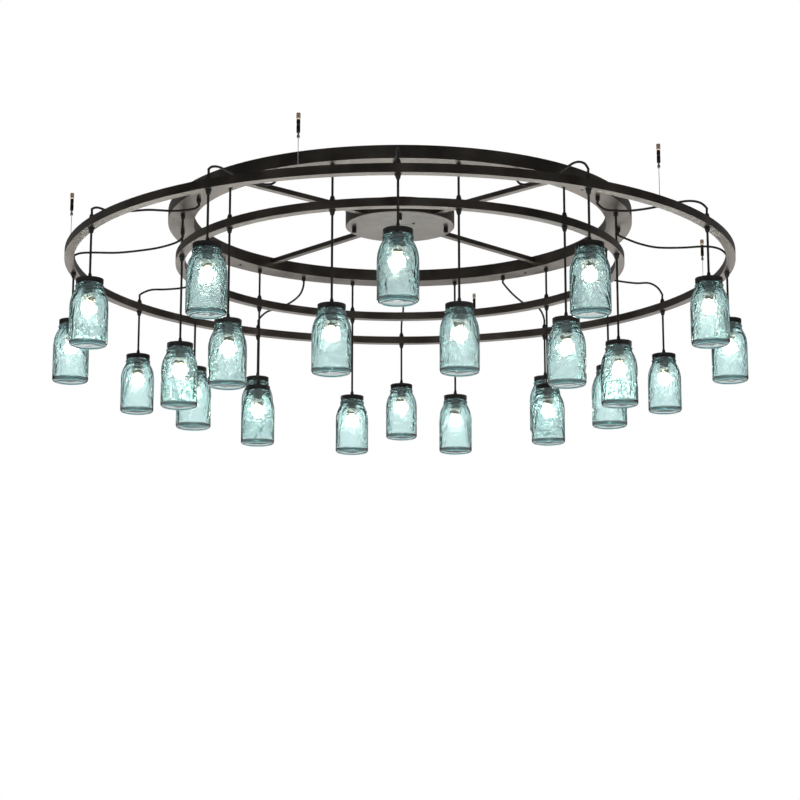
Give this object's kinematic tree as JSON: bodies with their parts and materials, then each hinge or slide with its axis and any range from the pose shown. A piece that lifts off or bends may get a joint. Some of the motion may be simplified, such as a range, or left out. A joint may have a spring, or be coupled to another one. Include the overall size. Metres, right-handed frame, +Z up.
{
  "type": "semi-flush ceiling light",
  "caption": "Round canopy and spoked raceway over two hoops, with aqua glass jar pendants hanging on black cords from both hoops.",
  "frame": {"origin": "centre of the ceiling face of the mounting plate, where the canopy meets the ceiling", "axes": "+Z up into the ceiling, -Y towards the near side of the picture, +X to the right in the picture"},
  "size_m": [1.902, 1.902, 0.5795],
  "materials": {
    "bronze_black": "satin powder coat, brown black",
    "satin_black": "satin black",
    "zinc_steel": "zinc plated",
    "black_nylon": "moulded nylon",
    "black_cord": "round flexible cord, matt black",
    "steel_cable": "stranded steel wire",
    "gripper_brass": "antique brass, dark on the body",
    "aqua_glass": "pressed aqua glass, wavy"
  },
  "bodies": {
    "frame": {"mounting_plate": "zinc_steel", "canopy_dish": "bronze_black", "canopy_fasteners": "satin_black", "spokes": "bronze_black", "raceway_channel": "bronze_black", "raceway_covers": "bronze_black", "outer_hoop": "bronze_black", "inner_hoop": "bronze_black", "cord_grips": "black_nylon", "feed_cords": "black_cord", "suspension_cables": "steel_cable", "cable_grippers": "gripper_brass"},
    "outer_pendant_01_body": {"outer_pendant_01": "satin_black"},
    "outer_jar_01_body": {"outer_jar_01": "aqua_glass"},
    "outer_pendant_02_body": {"outer_pendant_02": "satin_black"},
    "outer_jar_02_body": {"outer_jar_02": "aqua_glass"},
    "outer_pendant_03_body": {"outer_pendant_03": "satin_black"},
    "outer_jar_03_body": {"outer_jar_03": "aqua_glass"},
    "outer_pendant_04_body": {"outer_pendant_04": "satin_black"},
    "outer_jar_04_body": {"outer_jar_04": "aqua_glass"},
    "outer_pendant_05_body": {"outer_pendant_05": "satin_black"},
    "outer_jar_05_body": {"outer_jar_05": "aqua_glass"},
    "outer_pendant_06_body": {"outer_pendant_06": "satin_black"},
    "outer_jar_06_body": {"outer_jar_06": "aqua_glass"},
    "outer_pendant_07_body": {"outer_pendant_07": "satin_black"},
    "outer_jar_07_body": {"outer_jar_07": "aqua_glass"},
    "outer_pendant_08_body": {"outer_pendant_08": "satin_black"},
    "outer_jar_08_body": {"outer_jar_08": "aqua_glass"},
    "outer_pendant_09_body": {"outer_pendant_09": "satin_black"},
    "outer_jar_09_body": {"outer_jar_09": "aqua_glass"},
    "outer_pendant_10_body": {"outer_pendant_10": "satin_black"},
    "outer_jar_10_body": {"outer_jar_10": "aqua_glass"},
    "outer_pendant_11_body": {"outer_pendant_11": "satin_black"},
    "outer_jar_11_body": {"outer_jar_11": "aqua_glass"},
    "outer_pendant_12_body": {"outer_pendant_12": "satin_black"},
    "outer_jar_12_body": {"outer_jar_12": "aqua_glass"},
    "inner_pendant_01_body": {"inner_pendant_01": "satin_black"},
    "inner_jar_01_body": {"inner_jar_01": "aqua_glass"},
    "inner_pendant_02_body": {"inner_pendant_02": "satin_black"},
    "inner_jar_02_body": {"inner_jar_02": "aqua_glass"},
    "inner_pendant_03_body": {"inner_pendant_03": "satin_black"},
    "inner_jar_03_body": {"inner_jar_03": "aqua_glass"},
    "inner_pendant_04_body": {"inner_pendant_04": "satin_black"},
    "inner_jar_04_body": {"inner_jar_04": "aqua_glass"},
    "inner_pendant_05_body": {"inner_pendant_05": "satin_black"},
    "inner_jar_05_body": {"inner_jar_05": "aqua_glass"},
    "inner_pendant_06_body": {"inner_pendant_06": "satin_black"},
    "inner_jar_06_body": {"inner_jar_06": "aqua_glass"},
    "inner_pendant_07_body": {"inner_pendant_07": "satin_black"},
    "inner_jar_07_body": {"inner_jar_07": "aqua_glass"},
    "inner_pendant_08_body": {"inner_pendant_08": "satin_black"},
    "inner_jar_08_body": {"inner_jar_08": "aqua_glass"},
    "inner_pendant_09_body": {"inner_pendant_09": "satin_black"},
    "inner_jar_09_body": {"inner_jar_09": "aqua_glass"},
    "inner_pendant_10_body": {"inner_pendant_10": "satin_black"},
    "inner_jar_10_body": {"inner_jar_10": "aqua_glass"},
    "inner_pendant_11_body": {"inner_pendant_11": "satin_black"},
    "inner_jar_11_body": {"inner_jar_11": "aqua_glass"},
    "inner_pendant_12_body": {"inner_pendant_12": "satin_black"},
    "inner_jar_12_body": {"inner_jar_12": "aqua_glass"}
  },
  "joints": [
    {"name": "outer_pendant_01_swing", "type": "hinge", "parent": "frame", "child": "outer_pendant_01_body", "pos_m": [0, -0.902, -0.1927], "axis": [1, 0, 0], "range_deg": [-20, 20]},
    {"name": "outer_jar_01_turn", "type": "hinge", "parent": "outer_pendant_01_body", "child": "outer_jar_01_body", "pos_m": [0, -0.902, -0.307], "axis": [0, 0, -1], "range_deg": [0, 270]},
    {"name": "outer_pendant_02_swing", "type": "hinge", "parent": "frame", "child": "outer_pendant_02_body", "pos_m": [0.451, -0.78116, -0.1927], "axis": [0.866, 0.5, 0], "range_deg": [-20, 20]},
    {"name": "outer_jar_02_turn", "type": "hinge", "parent": "outer_pendant_02_body", "child": "outer_jar_02_body", "pos_m": [0.451, -0.78116, -0.307], "axis": [0, 0, -1], "range_deg": [0, 270]},
    {"name": "outer_pendant_03_swing", "type": "hinge", "parent": "frame", "child": "outer_pendant_03_body", "pos_m": [0.78116, -0.451, -0.1927], "axis": [0.5, 0.866, 0], "range_deg": [-20, 20]},
    {"name": "outer_jar_03_turn", "type": "hinge", "parent": "outer_pendant_03_body", "child": "outer_jar_03_body", "pos_m": [0.78116, -0.451, -0.307], "axis": [0, 0, -1], "range_deg": [0, 270]},
    {"name": "outer_pendant_04_swing", "type": "hinge", "parent": "frame", "child": "outer_pendant_04_body", "pos_m": [0.902, 0, -0.1927], "axis": [0, 1, 0], "range_deg": [-20, 20]},
    {"name": "outer_jar_04_turn", "type": "hinge", "parent": "outer_pendant_04_body", "child": "outer_jar_04_body", "pos_m": [0.902, 0, -0.307], "axis": [0, 0, -1], "range_deg": [0, 270]},
    {"name": "outer_pendant_05_swing", "type": "hinge", "parent": "frame", "child": "outer_pendant_05_body", "pos_m": [0.78116, 0.451, -0.1927], "axis": [-0.5, 0.866, 0], "range_deg": [-20, 20]},
    {"name": "outer_jar_05_turn", "type": "hinge", "parent": "outer_pendant_05_body", "child": "outer_jar_05_body", "pos_m": [0.78116, 0.451, -0.307], "axis": [0, 0, -1], "range_deg": [0, 270]},
    {"name": "outer_pendant_06_swing", "type": "hinge", "parent": "frame", "child": "outer_pendant_06_body", "pos_m": [0.451, 0.78116, -0.1927], "axis": [-0.866, 0.5, 0], "range_deg": [-20, 20]},
    {"name": "outer_jar_06_turn", "type": "hinge", "parent": "outer_pendant_06_body", "child": "outer_jar_06_body", "pos_m": [0.451, 0.78116, -0.307], "axis": [0, 0, -1], "range_deg": [0, 270]},
    {"name": "outer_pendant_07_swing", "type": "hinge", "parent": "frame", "child": "outer_pendant_07_body", "pos_m": [0, 0.902, -0.1927], "axis": [-1, 0, 0], "range_deg": [-20, 20]},
    {"name": "outer_jar_07_turn", "type": "hinge", "parent": "outer_pendant_07_body", "child": "outer_jar_07_body", "pos_m": [0, 0.902, -0.307], "axis": [0, 0, -1], "range_deg": [0, 270]},
    {"name": "outer_pendant_08_swing", "type": "hinge", "parent": "frame", "child": "outer_pendant_08_body", "pos_m": [-0.451, 0.78116, -0.1927], "axis": [-0.866, -0.5, 0], "range_deg": [-20, 20]},
    {"name": "outer_jar_08_turn", "type": "hinge", "parent": "outer_pendant_08_body", "child": "outer_jar_08_body", "pos_m": [-0.451, 0.78116, -0.307], "axis": [0, 0, -1], "range_deg": [0, 270]},
    {"name": "outer_pendant_09_swing", "type": "hinge", "parent": "frame", "child": "outer_pendant_09_body", "pos_m": [-0.78116, 0.451, -0.1927], "axis": [-0.5, -0.866, 0], "range_deg": [-20, 20]},
    {"name": "outer_jar_09_turn", "type": "hinge", "parent": "outer_pendant_09_body", "child": "outer_jar_09_body", "pos_m": [-0.78116, 0.451, -0.307], "axis": [0, 0, -1], "range_deg": [0, 270]},
    {"name": "outer_pendant_10_swing", "type": "hinge", "parent": "frame", "child": "outer_pendant_10_body", "pos_m": [-0.902, 0, -0.1927], "axis": [0, -1, 0], "range_deg": [-20, 20]},
    {"name": "outer_jar_10_turn", "type": "hinge", "parent": "outer_pendant_10_body", "child": "outer_jar_10_body", "pos_m": [-0.902, 0, -0.307], "axis": [0, 0, -1], "range_deg": [0, 270]},
    {"name": "outer_pendant_11_swing", "type": "hinge", "parent": "frame", "child": "outer_pendant_11_body", "pos_m": [-0.78116, -0.451, -0.1927], "axis": [0.5, -0.866, 0], "range_deg": [-20, 20]},
    {"name": "outer_jar_11_turn", "type": "hinge", "parent": "outer_pendant_11_body", "child": "outer_jar_11_body", "pos_m": [-0.78116, -0.451, -0.307], "axis": [0, 0, -1], "range_deg": [0, 270]},
    {"name": "outer_pendant_12_swing", "type": "hinge", "parent": "frame", "child": "outer_pendant_12_body", "pos_m": [-0.451, -0.78116, -0.1927], "axis": [0.866, -0.5, 0], "range_deg": [-20, 20]},
    {"name": "outer_jar_12_turn", "type": "hinge", "parent": "outer_pendant_12_body", "child": "outer_jar_12_body", "pos_m": [-0.451, -0.78116, -0.307], "axis": [0, 0, -1], "range_deg": [0, 270]},
    {"name": "inner_pendant_01_swing", "type": "hinge", "parent": "frame", "child": "inner_pendant_01_body", "pos_m": [0.14817, -0.58554, -0.1847], "axis": [0.9694, 0.2453, 0], "range_deg": [-20, 20]},
    {"name": "inner_jar_01_turn", "type": "hinge", "parent": "inner_pendant_01_body", "child": "inner_jar_01_body", "pos_m": [0.14817, -0.58554, -0.406], "axis": [0, 0, -1], "range_deg": [0, 270]},
    {"name": "inner_pendant_02_swing", "type": "hinge", "parent": "frame", "child": "inner_pendant_02_body", "pos_m": [0.42109, -0.43301, -0.1847], "axis": [0.7169, 0.6972, 0], "range_deg": [-20, 20]},
    {"name": "inner_jar_02_turn", "type": "hinge", "parent": "inner_pendant_02_body", "child": "inner_jar_02_body", "pos_m": [0.42109, -0.43301, -0.406], "axis": [0, 0, -1], "range_deg": [0, 270]},
    {"name": "inner_pendant_03_swing", "type": "hinge", "parent": "frame", "child": "inner_pendant_03_body", "pos_m": [0.58118, -0.16446, -0.1847], "axis": [0.2723, 0.9622, 0], "range_deg": [-20, 20]},
    {"name": "inner_jar_03_turn", "type": "hinge", "parent": "inner_pendant_03_body", "child": "inner_jar_03_body", "pos_m": [0.58118, -0.16446, -0.406], "axis": [0, 0, -1], "range_deg": [0, 270]},
    {"name": "inner_pendant_04_swing", "type": "hinge", "parent": "frame", "child": "inner_pendant_04_body", "pos_m": [0.58554, 0.14817, -0.1847], "axis": [-0.2453, 0.9694, 0], "range_deg": [-20, 20]},
    {"name": "inner_jar_04_turn", "type": "hinge", "parent": "inner_pendant_04_body", "child": "inner_jar_04_body", "pos_m": [0.58554, 0.14817, -0.406], "axis": [0, 0, -1], "range_deg": [0, 270]},
    {"name": "inner_pendant_05_swing", "type": "hinge", "parent": "frame", "child": "inner_pendant_05_body", "pos_m": [0.43301, 0.42109, -0.1847], "axis": [-0.6972, 0.7169, 0], "range_deg": [-20, 20]},
    {"name": "inner_jar_05_turn", "type": "hinge", "parent": "inner_pendant_05_body", "child": "inner_jar_05_body", "pos_m": [0.43301, 0.42109, -0.406], "axis": [0, 0, -1], "range_deg": [0, 270]},
    {"name": "inner_pendant_06_swing", "type": "hinge", "parent": "frame", "child": "inner_pendant_06_body", "pos_m": [0.16446, 0.58118, -0.1847], "axis": [-0.9622, 0.2723, 0], "range_deg": [-20, 20]},
    {"name": "inner_jar_06_turn", "type": "hinge", "parent": "inner_pendant_06_body", "child": "inner_jar_06_body", "pos_m": [0.16446, 0.58118, -0.406], "axis": [0, 0, -1], "range_deg": [0, 270]},
    {"name": "inner_pendant_07_swing", "type": "hinge", "parent": "frame", "child": "inner_pendant_07_body", "pos_m": [-0.14817, 0.58554, -0.1847], "axis": [-0.9694, -0.2453, 0], "range_deg": [-20, 20]},
    {"name": "inner_jar_07_turn", "type": "hinge", "parent": "inner_pendant_07_body", "child": "inner_jar_07_body", "pos_m": [-0.14817, 0.58554, -0.406], "axis": [0, 0, -1], "range_deg": [0, 270]},
    {"name": "inner_pendant_08_swing", "type": "hinge", "parent": "frame", "child": "inner_pendant_08_body", "pos_m": [-0.42109, 0.43301, -0.1847], "axis": [-0.7169, -0.6972, 0], "range_deg": [-20, 20]},
    {"name": "inner_jar_08_turn", "type": "hinge", "parent": "inner_pendant_08_body", "child": "inner_jar_08_body", "pos_m": [-0.42109, 0.43301, -0.406], "axis": [0, 0, -1], "range_deg": [0, 270]},
    {"name": "inner_pendant_09_swing", "type": "hinge", "parent": "frame", "child": "inner_pendant_09_body", "pos_m": [-0.58118, 0.16446, -0.1847], "axis": [-0.2723, -0.9622, 0], "range_deg": [-20, 20]},
    {"name": "inner_jar_09_turn", "type": "hinge", "parent": "inner_pendant_09_body", "child": "inner_jar_09_body", "pos_m": [-0.58118, 0.16446, -0.406], "axis": [0, 0, -1], "range_deg": [0, 270]},
    {"name": "inner_pendant_10_swing", "type": "hinge", "parent": "frame", "child": "inner_pendant_10_body", "pos_m": [-0.58554, -0.14817, -0.1847], "axis": [0.2453, -0.9694, 0], "range_deg": [-20, 20]},
    {"name": "inner_jar_10_turn", "type": "hinge", "parent": "inner_pendant_10_body", "child": "inner_jar_10_body", "pos_m": [-0.58554, -0.14817, -0.406], "axis": [0, 0, -1], "range_deg": [0, 270]},
    {"name": "inner_pendant_11_swing", "type": "hinge", "parent": "frame", "child": "inner_pendant_11_body", "pos_m": [-0.43301, -0.42109, -0.1847], "axis": [0.6972, -0.7169, 0], "range_deg": [-20, 20]},
    {"name": "inner_jar_11_turn", "type": "hinge", "parent": "inner_pendant_11_body", "child": "inner_jar_11_body", "pos_m": [-0.43301, -0.42109, -0.406], "axis": [0, 0, -1], "range_deg": [0, 270]},
    {"name": "inner_pendant_12_swing", "type": "hinge", "parent": "frame", "child": "inner_pendant_12_body", "pos_m": [-0.16446, -0.58118, -0.1847], "axis": [0.9622, -0.2723, 0], "range_deg": [-20, 20]},
    {"name": "inner_jar_12_turn", "type": "hinge", "parent": "inner_pendant_12_body", "child": "inner_jar_12_body", "pos_m": [-0.16446, -0.58118, -0.406], "axis": [0, 0, -1], "range_deg": [0, 270]}
  ]
}
